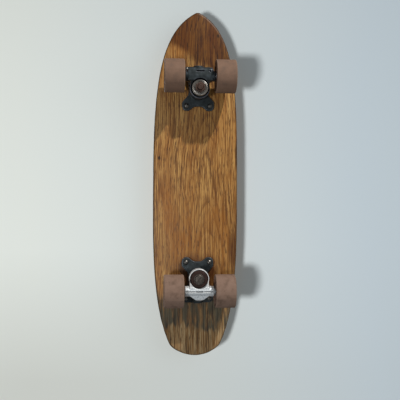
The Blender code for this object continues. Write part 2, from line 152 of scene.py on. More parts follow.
class SkateboardTruckSettings(bpy.types.PropertyGroup):
    casting_cell: length("Casting cell", "Cell of the remesh that rounds the castings", 0.42)
    dark_paint: hue("Dark casting", "Blue-grey paint on the front truck and both base plates", "#2F3638")
    # The worn colour is partly paint rubbed thin and partly painted highlight on the high edges.
    dark_wear_and_highlight: hue("Dark casting wear and highlight", "Purple-grey on the high edges, partly thin paint and partly painted highlight", "#6A6A74")
    bright: hue("Bright casting", "Bare aluminium of the rear hanger", "#EEF1F3")
    bright_pit: hue("Casting pits", "Grey in the sand pits of the bare casting", "#B4BABE")
    black_rubber: hue("Black rubber", "Front cushions and pivot liners", "#1E1C1B")
    red_rubber: hue("Red rubber", "Rear cushions, brown with age", "#29160F")


class SkateboardHardwareSettings(bpy.types.PropertyGroup):
    steel: hue("Steel", "Zinc-plated axles, nuts and screws", "#B4B0AA")
    worn_steel: hue("Worn steel", "Scratched dished washer", "#C2BBB2")
    rust: hue("Rust", "Brown rust on the front kingpin and its nut", "#5A4237")
    rust_dark: hue("Deep rust", "Dark rust in the pits", "#2E211C")
    oxide: hue("Oxidised steel", "Grey-brown head of the rear kingpin", "#6B625B")
    bearing: hue("Bearing steel", "Ground races and shields", "#B9BABC")
    slot_turn: bpy.props.FloatProperty(
        name="Slot turn",
        description="Angle of the rear kingpin's screwdriver slot",
        default=math.radians(40),
        subtype="ANGLE",
    )


class SkateboardStageSettings(bpy.types.PropertyGroup):
    wall_gap: length("Wall gap", "Distance from the deck's standing face to the wall behind it", 35.0)
    lens: bpy.props.FloatProperty(
        name="Lens", description="Focal length of the camera", default=57.96, min=1.0, unit="CAMERA"
    )
    key_power: amount("Key light", "Power of the hard light beyond the nose, in watts", 31.0)
    fill_power: amount("Fill light", "Power of the soft light beside the camera, in watts", 9.5)
    top_power: amount("Top light", "Power of the soft light over the standing face, in watts", 26.0)
    sky: amount("Sky", "Strength of the light from all around", 0.24)
    wall_power: amount("Wall light", "Power of the light that only the wall takes, in watts", 12.8)
    window_power: amount("Window light", "Power of the very soft light on the wall's right, in watts", 4.0)
    wall: hue("Wall", "Pale wall behind the board", "#E4E6DE")
    # The cool colour is painted shade on the right of the wall.
    shaded_cool_wall: hue("Cool side of the wall", "Painted shade on the wall's right, away from the window", "#D6E0E5")
    floor: hue("Floor", "Pale floor under the wheels", "#D9D9D6")


GROUPS = {
    "skateboard_deck": SkateboardDeckSettings,
    "skateboard_wheels": SkateboardWheelSettings,
    "skateboard_trucks": SkateboardTruckSettings,
    "skateboard_hardware": SkateboardHardwareSettings,
    "skateboard_stage": SkateboardStageSettings,
}


# ---------------------------------------------------------------- materials


def srgb(value):
    """Linear colour from an sRGB hex value."""
    channels = [int(value[index : index + 2], 16) / 255 for index in (1, 3, 5)]
    return tuple(c / 12.92 if c <= 0.04045 else ((c + 0.055) / 1.055) ** 2.4 for c in channels) + (1.0,)


def add(tree, kind, inputs=None, stops=None, **settings):
    """Adds a node with its settings, values and links; stops are the colours of a ramp."""
    node = tree.nodes.new(kind)
    for name, value in settings.items():
        setattr(node, name, value)
    for name, value in (inputs or {}).items():
        if isinstance(value, bpy.types.NodeSocket):
            tree.links.new(value, node.inputs[name])
        else:
            node.inputs[name].default_value = value
    if stops:
        elements = node.color_ramp.elements
        while len(elements) < len(stops):
            elements.new(0.5)
        for element, (position, colour) in zip(elements, stops):
            element.position = position
            element.color = srgb(colour) if isinstance(colour, str) else (colour, colour, colour, 1.0)
    return node


def compute(tree, operation, *values):
    """The result of a math node on its values, in order."""
    return add(tree, "ShaderNodeMath", dict(enumerate(values)), operation=operation).outputs[0]


def compute_vector(tree, operation, *values):
    """The result of a vector math node on its values, in order."""
    node = add(tree, "ShaderNodeVectorMath", dict(enumerate(values)), operation=operation)
    return node.outputs["Value" if operation == "LENGTH" else 0]


def remap(tree, value, low, high, bottom=0.0, top=1.0, smooth_ends=False):
    """Carries low to bottom and high to top, and holds beyond them."""
    inputs = {"Value": value, "From Min": low, "From Max": high, "To Min": bottom, "To Max": top}
    kind = "SMOOTHSTEP" if smooth_ends else "LINEAR"
    return add(tree, "ShaderNodeMapRange", inputs, interpolation_type=kind).outputs[0]


def mottled(tree, where, scale, detail, roughness=0.5):
    """Noise of scale blotches to a metre; a scale for each axis draws it out along the smallest."""
    if not isinstance(scale, float):
        where, scale = add(tree, "ShaderNodeMapping", {"Vector": where, "Scale": scale}).outputs[0], 1.0
    inputs = {"Vector": where, "Scale": scale, "Detail": detail, "Roughness": roughness}
    return add(tree, "ShaderNodeTexNoise", inputs).outputs["Fac"]


def ramp(tree, value, *stops):
    """A value turned into colours, or into greys where the stops are numbers."""
    return add(tree, "ShaderNodeValToRGB", {0: value}, stops=stops).outputs[0]


def lay(tree, share, under, over, how="MIX"):
    """Lays one colour over another by share; each is a socket or an sRGB hex value."""
    under, over = (srgb(colour) if isinstance(colour, str) else colour for colour in (under, over))
    inputs = {0: share, 6: under, 7: over}
    return add(tree, "ShaderNodeMix", inputs, data_type="RGBA", blend_type=how).outputs[2]


def stored(tree, name):
    """A value that a piece's mesh holds at each point."""
    return add(tree, "ShaderNodeAttribute", attribute_name=name).outputs["Fac"]


def new_material(name, **values):
    """A material with a Principled shader, whose own sockets take the values, and the coordinates of
    the object it is on."""
    material = bpy.data.materials.new(name)
    material.use_nodes = True
    tree = material.node_tree
    shader = tree.nodes["Principled BSDF"]
    for socket, value in values.items():
        shader.inputs[socket.replace("_", " ")].default_value = value
    return material, tree, shader, add(tree, "ShaderNodeTexCoord").outputs["Object"]


def surface_bump(tree, shader, heights):
    """Chains bumps onto the shader: each height is (socket, depth in metres, strength)."""
    normal = None
    for height, depth, strength in heights:
        inputs = {"Height": height, "Distance": depth, "Strength": strength}
        if normal is not None:
            inputs["Normal"] = normal
        normal = add(tree, "ShaderNodeBump", inputs).outputs["Normal"]
    tree.links.new(normal, shader.inputs["Normal"])


def spot(tree, where, middle, reach):
    """Strength, 1 in the middle to 0 outside, of an oval mark on the deck."""
    away = compute_vector(tree, "SUBTRACT", where, (*middle, 0.0))
    away = compute_vector(tree, "MULTIPLY", away, (1 / reach[0], 1 / reach[1], 0.0))
    return remap(tree, compute_vector(tree, "LENGTH", away), 1.0, 0.45)


def flat_sawn_oak(deck):
    """Flat-sawn oak under old varnish: growth rings that run into long arches along the middle, dark
    dashes where the saw cut open the pores, amber where the varnish is thick, bare and dirty at the tail,
    with painted shade over the nose and along the rounded edges."""
    material, tree, shader, where = new_material(
        "flat-sawn oak, old varnish", IOR=1.5, Specular_IOR_Level=0.3
    )
    # The fibres wander a few millimetres over a hand's width.
    wander = add(tree, "ShaderNodeTexNoise", {"Vector": where, "Scale": 5.0, "Detail": 2.0}).outputs["Color"]
    wander = compute_vector(tree, "SUBTRACT", wander, (0.5, 0.5, 0.5))
    wander = compute_vector(tree, "MULTIPLY", wander, (0.0, 0.014, 0.014))
    grain = compute_vector(tree, "ADD", where, wander)
    along = add(tree, "ShaderNodeSeparateXYZ", {0: where}).outputs

    # Growth rings are cylinders about the pith, which rises a little towards the nose.
    parts = add(tree, "ShaderNodeSeparateXYZ", {0: grain}).outputs
    lift = compute(tree, "MULTIPLY_ADD", along["X"], 0.075, deck.pith_height)
    depth = compute(tree, "SUBTRACT", parts["Z"], lift)
    side = compute(tree, "SUBTRACT", parts["Y"], deck.pith_side)
    from_pith = add(tree, "ShaderNodeCombineXYZ", {"Y": side, "Z": depth}).outputs[0]
    rings = compute(tree, "DIVIDE", compute_vector(tree, "LENGTH", from_pith), deck.ring_spacing)
    uneven = add(
        tree, "ShaderNodeTexNoise", {"W": rings, "Scale": 0.37, "Detail": 1.0}, noise_dimensions="1D"
    ).outputs["Fac"]
    season = compute(tree, "FRACT", compute(tree, "MULTIPLY_ADD", uneven, 1.6, rings))
    early = ramp(tree, season, (0.0, 0.35), (0.12, 1.0), (0.42, 0.25), (1.0, 0.0))

    # Fibres 1.5 mm wide and 60 mm long; pores drawn 1.3 mm wide, five times their real width, to show.
    fibres = mottled(tree, grain, (16.0, 660.0, 660.0), 3.0)
    pores = mottled(tree, grain, (75.0, 760.0, 760.0), 2.0)
    pores = remap(tree, pores, 0.52, 0.68, smooth_ends=True)
    pores = compute(tree, "MULTIPLY", pores, compute(tree, "MULTIPLY_ADD", early, 0.4, 0.6))
    # Streaks 2 mm wide and 200 mm long, as the dark and light fibres bunch together.
    streaks = mottled(tree, grain, (5.0, 480.0, 480.0), 4.0, 0.65)
    # Patches a few centimetres across, longer than wide, where the varnish lies thicker.
    patches = mottled(tree, where, (7.0, 26.0, 26.0), 3.0, 0.55)

    tone = compute(tree, "MULTIPLY_ADD", fibres, 1.7, -1.27)
    tone = compute(tree, "MULTIPLY_ADD", streaks, 1.9, tone)
    tone = compute(tree, "MULTIPLY_ADD", early, -0.24, tone)
    wood = ramp(tree, tone, (0.12, deck.dark), (0.42, deck.brown), (0.72, deck.pale))
    wood = lay(tree, remap(tree, patches, 0.42, 0.7, top=0.75), wood, deck.amber)
    wood = lay(tree, pores, wood, "#4A2C17")
    # Painted shade over the nose: the wood is multiplied darker and redder there, more so on its left.
    broad = mottled(tree, where, 16.0, 1.0)
    nose = compute(tree, "MULTIPLY_ADD", along["Y"], 0.45, along["X"])
    nose = compute(tree, "MULTIPLY_ADD", broad, 0.03, nose)
    nose = remap(tree, nose, 0.228, 0.246, smooth_ends=True)
    wood = lay(tree, nose, wood, deck.nose, "MULTIPLY")
    under = remap(tree, along["Z"], DECK_HIGH.z, DECK_LOW.z + 3 * MM)
    for middle, reach, colour, strength in UNDERSIDE_MARKS:
        mark = compute(tree, "MULTIPLY", spot(tree, where, middle, reach), strength)
        wood = lay(tree, compute(tree, "MULTIPLY", mark, under), wood, colour)

    # Bare, dry wood at the tail, with a jagged edge that follows the fibres.
    jag = mottled(tree, where, (9.0, 170.0, 170.0), 4.0)
    edge = compute(tree, "MULTIPLY_ADD", jag, 0.05, along["X"])
    edge = compute(tree, "MULTIPLY_ADD", broad, 0.05, edge)
    bare = remap(tree, edge, -0.205, -0.213)
    dirty = remap(tree, edge, -0.125, -0.165, top=0.95, smooth_ends=True)
    dirt = remap(tree, mottled(tree, where, (22.0, 150.0, 150.0), 4.0), 0.38, 0.52, bottom=0.45)
    dirty = compute(tree, "MULTIPLY", dirty, dirt)
    soot = ramp(tree, streaks, (0.38, "#37332B"), (0.62, deck.grime))
    wood = lay(tree, dirty, wood, soot)
    dry = compute(tree, "MULTIPLY", compute(tree, "ADD", fibres, streaks), 0.5)
    dry = ramp(tree, dry, (0.38, "#54412D"), (0.46, "#8C6437"), (0.52, deck.bare), (0.62, "#B99C72"))
    wood = lay(tree, bare, wood, dry)
    wood = lay(tree, compute(tree, "MULTIPLY", pores, bare), wood, "#54402C")
    # Painted shade on the rounded edges: the wood darkens where it turns away from the flat faces.
    facing = add(tree, "ShaderNodeTexCoord").outputs["Normal"]
    facing = add(tree, "ShaderNodeSeparateXYZ", {0: facing}).outputs["Z"]
    painted_edge_shade = remap(tree, compute(tree, "ABSOLUTE", facing), 0.96, 0.6, top=0.8)
    wood = lay(tree, painted_edge_shade, wood, "#3F2D19")
    tree.links.new(wood, shader.inputs["Base Color"])

    gloss = remap(tree, patches, 0.0, 1.0, 0.5, 0.34)
    # Roughness rises on bare and dirty wood and along the rounded edges under the painted shade.
    worn = compute(tree, "MAXIMUM", compute(tree, "MAXIMUM", bare, dirty), painted_edge_shade)
    gloss = add(tree, "ShaderNodeMix", {0: worn, 2: gloss, 3: 0.78}).outputs[0]
    tree.links.new(gloss, shader.inputs["Roughness"])
    hollow = compute(tree, "MULTIPLY_ADD", pores, -1.0, 1.0)
    surface_bump(tree, shader, [(fibres, 0.12 * MM, 0.5), (hollow, 0.2 * MM, 0.6)])
    return material


def cast_urethane(wheels, truck):
    """Cast urethane, dusty with age: brownish rose with a painted highlight along the corners and a scuffed
    tread that never shines. The front wheels have picked up more brown dirt than the rear ones."""
    material, tree, shader, where = new_material(
        f"cast urethane, aged, {truck}", IOR=1.49, Roughness=0.82, Specular_IOR_Level=0.2
    )
    body, faded = {"front": (wheels.front_urethane, "#755644"), "rear": (wheels.urethane, "#8C7164")}[truck]
    mottle, dust = mottled(tree, where, 90.0, 4.0), mottled(tree, where, 420.0, 3.0)
    colour = ramp(tree, mottle, (0.3, wheels.tread_dirt), (0.5, body), (0.8, faded))
    # Painted highlight: paler urethane along the tread's corners.
    colour = lay(tree, stored(tree, "corner"), colour, wheels.rim_highlight)
    colour = lay(tree, remap(tree, dust, 0.62, 0.74, top=0.45), colour, "#4E382C")
    tree.links.new(colour, shader.inputs["Base Color"])
    surface_bump(tree, shader, [(mottle, 0.25 * MM, 0.4), (dust, 0.08 * MM, 0.5)])
    return material


def painted_casting(trucks):
    """Sand-cast aluminium under dark paint: blue-grey and satin, purple-grey on the high edges, partly where
    the paint is rubbed thin and partly painted highlight, and painted shade in the hollows.
    """
    material, tree, shader, where = new_material("sand-cast aluminium, dark paint", Metallic=0.35, IOR=1.5)
    sand, cloud = mottled(tree, where, 700.0, 3.0), mottled(tree, where, 120.0, 3.0)
    colour = ramp(tree, cloud, (0.35, "#22282A"), (0.55, trucks.dark_paint), (0.75, "#434A50"))
    # Purple-grey on the high edges: partly paint rubbed thin, partly painted highlight.
    rubbed = compute(tree, "MULTIPLY", stored(tree, "edge"), sand)
    colour = lay(tree, remap(tree, rubbed, 0.16, 0.42, top=0.8), colour, trucks.dark_wear_and_highlight)
    # Painted shade: near black in the hollows, slots and grooves of the casting.
    colour = lay(tree, stored(tree, "hollow"), colour, "#0D1012")
    tree.links.new(colour, shader.inputs["Base Color"])
    tree.links.new(remap(tree, cloud, 0.0, 1.0, 0.32, 0.5), shader.inputs["Roughness"])
    surface_bump(tree, shader, [(sand, 0.12 * MM, 0.45)])
    return material


def bare_casting(trucks):
    """Sand-cast aluminium, bare and tumbled: bright and grainy, with grey pits, a painted highlight on the
    raised lips and painted shade in the hollows.
    """
    material, tree, shader, where = new_material("sand-cast aluminium, bare", Metallic=0.4)
    sand, cloud = mottled(tree, where, 620.0, 4.0), mottled(tree, where, 90.0, 3.0)
    colour = ramp(tree, sand, (0.34, trucks.bright_pit), (0.5, "#DADFE2"), (0.62, trucks.bright))
    # Painted highlight on the raised lips.
    colour = lay(tree, stored(tree, "edge"), colour, "#F4F4F2")
    # Painted shade in the hollows and slots.
    colour = lay(tree, stored(tree, "hollow"), colour, "#333A42")
    tree.links.new(colour, shader.inputs["Base Color"])
    tree.links.new(remap(tree, cloud, 0.0, 1.0, 0.32, 0.52), shader.inputs["Roughness"])
    surface_bump(tree, shader, [(cloud, 0.3 * MM, 0.35), (sand, 0.15 * MM, 0.6)])
    return material


def moulded_rubber(name, base, dusty):
    """Moulded rubber hardened with age: nearly matt, with a greyish bloom and fine cracks."""
    material, tree, shader, where = new_material(name, IOR=1.52, Specular_IOR_Level=0.25)
    bloom = mottled(tree, where, 260.0, 4.0)
    tree.links.new(ramp(tree, bloom, (0.42, base), (0.72, dusty)), shader.inputs["Base Color"])
    tree.links.new(remap(tree, bloom, 0.0, 1.0, 0.42, 0.8), shader.inputs["Roughness"])
    cracks = add(
        tree, "ShaderNodeTexVoronoi", {"Vector": where, "Scale": 480.0}, feature="DISTANCE_TO_EDGE"
    ).outputs["Distance"]
    surface_bump(tree, shader, [(bloom, 0.15 * MM, 0.4), (cracks, 0.05 * MM, 0.3)])
    return material


def steel(name, bright, dull, grit, roughness, scratches, metallic=1.0):
    """Steel with its surface state: grit is the size of its blotches in millimetres, and scratches how
    strongly turned or rubbed marks show."""
    material, tree, shader, where = new_material(name, Metallic=metallic)
    blotch = mottled(tree, where, 1.0 / (grit * MM), 4.0, 0.6)
    tree.links.new(ramp(tree, blotch, (0.36, dull), (0.62, bright)), shader.inputs["Base Color"])
    gloss = remap(tree, blotch, 0.3, 0.7, roughness + 0.2, roughness)
    tree.links.new(gloss, shader.inputs["Roughness"])
    marks = mottled(tree, where, (900.0, 120.0, 500.0), 3.0)
    surface_bump(tree, shader, [(blotch, 0.1 * MM, 0.4), (marks, 0.05 * MM, scratches)])
    return material


def stage_material(name, warm, cool):
    """Matt paint with painted light: warmer and lighter to the left, cooler and darker to the right where it
    is shaded, and a painted grey shadow low on the left; it shows from its front only, so a camera behind it
    sees through."""
    material, tree, shader, where = new_material(name, Roughness=0.9)
    along = add(tree, "ShaderNodeSeparateXYZ", {0: where}).outputs
    # Painted light: the lit left side warmer and lighter, the shaded right side cooler and darker.
    across = compute(tree, "MULTIPLY_ADD", mottled(tree, where, 2.5, 2.0), 0.2, along["Y"])
    across = remap(tree, across, -0.2, 0.45)
    left = compute(tree, "MULTIPLY_ADD", across, -0.9, 1.0)
    # Painted shadow: grey low on the left, where the board's shadow would fall.
    low = compute(tree, "MULTIPLY", remap(tree, along["X"], -0.12, -0.36, top=0.7), left)
    painted_light_tint = lay(tree, low, lay(tree, across, warm, cool), "#C3C3BB")
    tree.links.new(painted_light_tint, shader.inputs["Base Color"])
    behind = add(tree, "ShaderNodeNewGeometry").outputs["Backfacing"]
    clear = add(tree, "ShaderNodeBsdfTransparent").outputs[0]
    shown = add(tree, "ShaderNodeMixShader", {0: behind, 1: shader.outputs[0], 2: clear}).outputs[0]
    tree.links.new(shown, tree.nodes["Material Output"].inputs["Surface"])
    return material


# ---------------------------------------------------------------- shaping tools


def rounded(corners, arc_steps=5):
    """Points of a closed profile whose corners (radius, height, rounding) are turned into short arcs."""
    points = []
    for index, corner in enumerate(corners):
        here = Vector(corner[:2])
        if len(corner) < 3:
            points.append(here)
            continue
        before = Vector(corners[index - 1][:2]) - here
        after = Vector(corners[(index + 1) % len(corners)][:2]) - here
        reach = min(corner[2], 0.49 * before.length, 0.49 * after.length)
        start = here + before.normalized() * reach
        end = here + after.normalized() * reach
        for step in range(arc_steps + 1):
            t = step / arc_steps
            points.append((1 - t) ** 2 * start + 2 * t * (1 - t) * here + t * t * end)
    return points


def band(inner, outer, bottom, top):
    """Corners of a plain ring's profile or, with no inner radius, a cylinder's."""
    return [(inner, bottom), (outer, bottom), (outer, top), (inner, top)]


def mesh_from(name, build):
    """A new object whose mesh is made by build(bm), with its normals outwards."""
    bm = bmesh.new()
    build(bm)
    bmesh.ops.recalc_face_normals(bm, faces=bm.faces)
    mesh = bpy.data.meshes.new(name)
    bm.to_mesh(mesh)
    bm.free()
    obj = bpy.data.objects.new(name, mesh)
    bpy.context.scene.collection.objects.link(obj)
    return obj


def turned(name, profile, steps, place=Matrix.Identity(4)):
    """A closed profile of (radius, height) in millimetres, turned about Z and set at place."""

    def build(bm):
        rings = []
        for radius, height in profile:
            count = steps if radius > 1e-6 else 1
            angles = [2 * math.pi * step / steps for step in range(count)]
            rings.append(
                [
                    bm.verts.new((radius * MM * math.cos(a), radius * MM * math.sin(a), height * MM))
                    for a in angles
                ]
            )
        for low, high in zip(rings, rings[1:] + rings[:1]):
            for step in range(steps):
                after = (step + 1) % steps
                corners = [low[step % len(low)], low[after % len(low)]]
                corners += [high[after % len(high)], high[step % len(high)]]
                corners = list(dict.fromkeys(corners))
                if len(corners) > 2:
                    bm.faces.new(corners)

    obj = mesh_from(name, build)
    obj.data.transform(place)
    return obj


def block(name, low, high, place=Matrix.Identity(4)):
    """A box between two corners in millimetres, set at place."""

    def build(bm):
        bmesh.ops.create_cube(bm, size=1.0)
        size = [(b - a) * MM for a, b in zip(low, high)]
        middle = [(b + a) * MM / 2 for a, b in zip(low, high)]
        bmesh.ops.scale(bm, vec=size, verts=bm.verts)
        bmesh.ops.translate(bm, vec=middle, verts=bm.verts)

    obj = mesh_from(name, build)
    obj.data.transform(place)
    return obj


def settle(obj):
    """Makes the object's modifiers part of its mesh."""
    bpy.context.view_layer.update()
    shaped = bpy.data.meshes.new_from_object(obj.evaluated_get(bpy.context.evaluated_depsgraph_get()))
    obj.modifiers.clear()
    shaped.name = obj.name
    obj.data = shaped


def combine(obj, tool, operation="DIFFERENCE"):
    """Cuts, joins or keeps the overlap of obj and tool, and uses tool up."""
    step = obj.modifiers.new(operation.title(), "BOOLEAN")
    step.operation = operation
    step.object = tool
    settle(obj)
    bpy.data.objects.remove(tool, do_unlink=True)


def soften(obj, width_mm, segments=2, angle=35):
    """Rounds the sharp edges and shades the rest smooth."""
    bevel = obj.modifiers.new("Softened edges", "BEVEL")
    bevel.width = width_mm * MM
    bevel.segments = segments
    bevel.limit_method = "ANGLE"
    bevel.angle_limit = math.radians(angle)
    bevel.harden_normals = False
    settle(obj)


def smooth(obj, angle):
    obj.data.shade_smooth()
    obj.data.set_sharp_from_angle(angle=math.radians(angle))


def fit_out(obj, body, node, material, crease=None):
    """Gives a finished piece its material and its CAD body, and hides the CAD node it stands for; crease is
    the angle in degrees past which an edge stays sharp."""
    if crease:
        smooth(obj, crease)
    obj.data.materials.clear()
    obj.data.materials.append(material)
    if body is not None:
        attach(obj, body)
    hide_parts(node)


def mark_edges(obj):
    """Stores how far each point stands out from its neighbours, as "edge", or lies below them, as
    "hollow"."""
    count = len(obj.data.vertices)
    points, normals = np.empty(count * 3), np.empty(count * 3)
    obj.data.vertices.foreach_get("co", points)
    obj.data.vertex_normals.foreach_get("vector", normals)
    points, normals = points.reshape(-1, 3), normals.reshape(-1, 3)
    ends = np.empty(len(obj.data.edges) * 2, int)
    obj.data.edges.foreach_get("vertices", ends)
    one, other = ends[0::2], ends[1::2]
    links = np.maximum(np.bincount(one, minlength=count) + np.bincount(other, minlength=count), 1)

    def around(values):
        """The mean over each point's neighbours."""
        total = np.bincount(one, values[other], count) + np.bincount(other, values[one], count)
        return total / links

    middle = np.stack([around(points[:, axis]) for axis in range(3)], axis=1)
    edge_length = np.linalg.norm(points[one] - points[other], axis=1)
    size = (np.bincount(one, edge_length, count) + np.bincount(other, edge_length, count)) / links
    raised = ((points - middle) * normals).sum(1) / np.maximum(size, 1e-9)
    for _ in range(2):
        raised = (raised + links * around(raised)) / (1 + links)
    for name, values in (("edge", raised * 9), ("hollow", raised * -9)):
        attribute = obj.data.attributes.new(name, "FLOAT", "POINT")
        attribute.data.foreach_set("value", np.clip(values, 0, 1).astype(np.float32))


def points_of(node):
    return np.array([v.co for v in FRAME["nodes"][node].data.vertices], float)


def half_size(node, axis):
    """Half of a CAD node's size along an axis, in millimetres."""
    low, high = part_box(node)
    return (getattr(high, axis) - getattr(low, axis)) / 2 / MM


def turned_size(node, place):
    """Bottom, top, least and greatest radius of a CAD node about place, in millimetres."""
    inverse = place.inverted()
    local = np.array([inverse @ Vector(p) for p in points_of(node)]) / MM
    out = np.hypot(local[:, 0], local[:, 1])
    return local[:, 2].min(), local[:, 2].max(), out.min(), out.max()


def kingpin_place(truck):
    """Z runs up the kingpin from where the steering axis crosses it; X points outboard."""
    low = Vector(points_of(f"{truck}_lower_cushion").mean(0))
    high = Vector(points_of(f"{truck}_upper_cushion").mean(0))
    up = (high - low).normalized()
    across = Vector((0, TRUCKS[truck], 0))
    outboard = across.cross(up).normalized()
    turn = Matrix((outboard, across, up)).transposed().to_4x4()
    return Matrix.Translation(JOINTS[f"{truck}_steer"]["pos_m"]) @ turn


def axle_place(truck, hand=None, end=None):
    """Z runs along the axle, outwards from the truck; the origin is the wheel's or bearing's centre."""
    side = HANDS[hand] if hand else 1
    hubs = [Vector(JOINTS[f"{truck}_{each}_wheel_spin"]["pos_m"]) for each in ([hand] if hand else HANDS)]
    middle = sum(hubs, Vector()) / len(hubs)
    if end:
        middle.y = sum(corner.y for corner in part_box(f"{truck}_{hand}_{end}_outer_race")) / 2
        side = side if end == "outer" else -side
    along = Vector((0, side, 0))
    turn = Matrix((Vector((1, 0, 0)), along.cross(Vector((1, 0, 0))), along)).transposed().to_4x4()
    return Matrix.Translation(middle) @ turn


def hexagon(name, reach_mm, bottom, top, bore, place, chamfer=1.1):
    """A hexagon nut: reach is from its middle to a corner; both faces are chamfered as turned stock is."""
    nut = turned(name, band(0, reach_mm, bottom, top), 6)
    flat = reach_mm * math.cos(math.pi / 6)
    cone = [
        (0, bottom),
        (flat - 0.2, bottom),
        (reach_mm + 0.4, bottom + chamfer),
        (reach_mm + 0.4, top - chamfer),
        (flat - 0.2, top),
        (0, top),
    ]
    combine(nut, turned("chamfer", cone, 72), "INTERSECT")
    combine(nut, turned("bore", band(0, bore, bottom - 5, top + 5), 48))
    soften(nut, 0.25, 2, 30)
    nut.data.transform(place)
    smooth(nut, 30)
    return nut


# ---------------------------------------------------------------- pieces


class SKATEBOARD_OT_deck(bpy.types.Operator):
    """Build the oak deck with its rounded edges"""

    bl_idname = "skateboard.deck"
    bl_label = "Deck"

    def execute(self, context):
        settings = context.scene.skateboard_deck
        outline = self.outline(240)
        edge = settings.edge_round
        middle_z = (DECK_LOW.z + DECK_HIGH.z) / 2
        half = (DECK_HIGH.z - DECK_LOW.z) / 2

        def build(bm):
            rings = []
            turns = [math.pi / 2 * step / 6 for step in range(7)]
            levels = [(edge * (1 - math.sin(a)), -half + edge * (1 - math.cos(a))) for a in turns]
            levels += [(inset, -height) for inset, height in reversed(levels)]
            for inset, height in levels:
                ring = []
                for point, outward in outline:
                    nick = self.wear(point, height / half)
                    at = point - outward * (inset + nick)
                    ring.append(bm.verts.new((at.x, at.y, middle_z + height)))
                rings.append(ring)
            for low, high in zip(rings, rings[1:]):
                for index in range(len(low)):
                    after = (index + 1) % len(low)
                    bm.faces.new((low[index], low[after], high[after], high[index]))
            bm.faces.new(rings[0])
            bm.faces.new(list(reversed(rings[-1])))

        deck = mesh_from("oak_deck", build)
        fit_out(deck, "root", "deck", flat_sawn_oak(settings), 50)
        return {"FINISHED"}

    @staticmethod
    def wear(point, level):
        """Small dents along the edge, deepest round the tail."""
        tail = min(1.0, max(0.0, (-0.2 - point.x) / 0.1))
        dent = noise.noise(Vector((point.x * 90, point.y * 90, level * 1.2)))
        return max(0.0, dent) * (0.35 + 0.9 * tail) * MM

    @staticmethod
    def outline(steps):
        """Points round the deck, steps on each stretch between two knots, with their outward directions."""
        # Knots in millimetres from the tail end and the centreline, with the arms to the knots on both sides.
        nose = ((611.2, 3.5), (-32, -66), (-32, 66))
        tail = ((0, 1), (0, 20), (0, -20))
        left = [((314, 75), (174, 0), (-93, 0)), ((21, 45.5), (71, 33.5), (-10, -4.7))]
        right = [tuple((x, -y) for x, y in (at, ahead, back)) for at, back, ahead in reversed(left)]
        knots = [nose, *left, tail, *right]
        loop = []
        for (start, _, leave), (end, arrive, _) in zip(knots, knots[1:] + knots[:1]):
            start, end = Vector(start), Vector(end)
            a, b = start + Vector(leave), end + Vector(arrive)
            for step in range(steps):
                t = step / steps
                point = (1 - t) ** 3 * start + 3 * t * (1 - t) ** 2 * a + 3 * t * t * (1 - t) * b + t**3 * end
                point = Vector((DECK_LOW.x, 0)) + point * MM
                # Sanding has blunted the very tip of the nose.
                blunt = DECK_HIGH.x - 0.05 * abs(point.y - nose[0][1] * MM)
                loop.append(Vector((min(point.x, blunt), point.y)))
        result = []
        for index, point in enumerate(loop):
            way = loop[(index + 1) % len(loop)] - loop[index - 1]
            outward = Vector((way.y, -way.x)).normalized()
            if outward.dot(point) < 0:
                outward = -outward
            result.append((point, outward))
        return result


class SKATEBOARD_OT_wheels(bpy.types.Operator):
    """Build the four urethane tyres"""

    bl_idname = "skateboard.wheels"
    bl_label = "Wheels"

    def execute(self, context):
        settings = context.scene.skateboard_wheels
        for truck in TRUCKS:
            urethane = cast_urethane(settings, truck)
            for hand in HANDS:
                node = f"{truck}_{hand}_wheel"
                radius, half = half_size(node, "z"), half_size(node, "y")
                dish = settings.face_dish / MM
                corner = settings.tread_round / MM
                rim = [
                    (13.8, half - 0.3, 0.5),
                    (15.2, half - dish, 1.2),
                    (21.5, half - dish, 2.0),
                    (24.6, half, 1.4),
                    (radius, half, corner),
                ]
                # Bearing seats in both faces; the outer one opens into a recess for the nut.
                outer = [(8.2, 0.4, 0.3), (11.1, 0.4), (11.1, 8.0, 0.2), (12.7, 8.5, 0.3)]
                outer.append((12.7, half - 0.5, 0.4))
                inner = [(8.2, 9.4, 0.3), (11.1, 9.4), (11.1, half - 0.5, 0.4)] + rim
                profile = rounded(outer + rim + [(r, -z, *rest) for r, z, *rest in reversed(inner)], 6)
                tyre = turned(f"{truck}_{hand}_tyre", profile, 144)
                self.mark_corners(tyre, radius, half)
                self.scuff(tyre, radius, scuff_seed(truck, hand))
                tyre.data.transform(axle_place(truck, hand))
                fit_out(tyre, node, node, urethane, 45)
        return {"FINISHED"}

    @staticmethod
    def mark_corners(tyre, radius, half):
        """Stores how near each point is to the tread's corners, where the painted highlight goes."""
        near = []
        for vert in tyre.data.vertices:
            out = math.hypot(vert.co.x, vert.co.y) / MM
            gap = math.hypot(radius - out, half - abs(vert.co.z) / MM)
            near.append(max(0.0, 1.0 - gap / 4.0))
        tyre.data.attributes.new("corner", "FLOAT", "POINT").data.foreach_set("value", near)

    @staticmethod
    def scuff(tyre, radius, seed):
        """Wears shallow flats and small bites into the tread."""
        for vert in tyre.data.vertices:
            out = math.hypot(vert.co.x, vert.co.y)
            if out > (radius - 3.5) * MM:
                around = Vector((vert.co.x, vert.co.y, vert.co.z)) * 260 + Vector((seed, 0, 0))
                bite = max(0.0, noise.noise(around) - 0.1) * 0.5 * MM
                vert.co.x *= 1 - bite / out
                vert.co.y *= 1 - bite / out


def scuff_seed(truck, hand):
    """A different place in the noise for each wheel."""
    return 7.0 * TRUCKS[truck] + 3.0 * HANDS[hand]


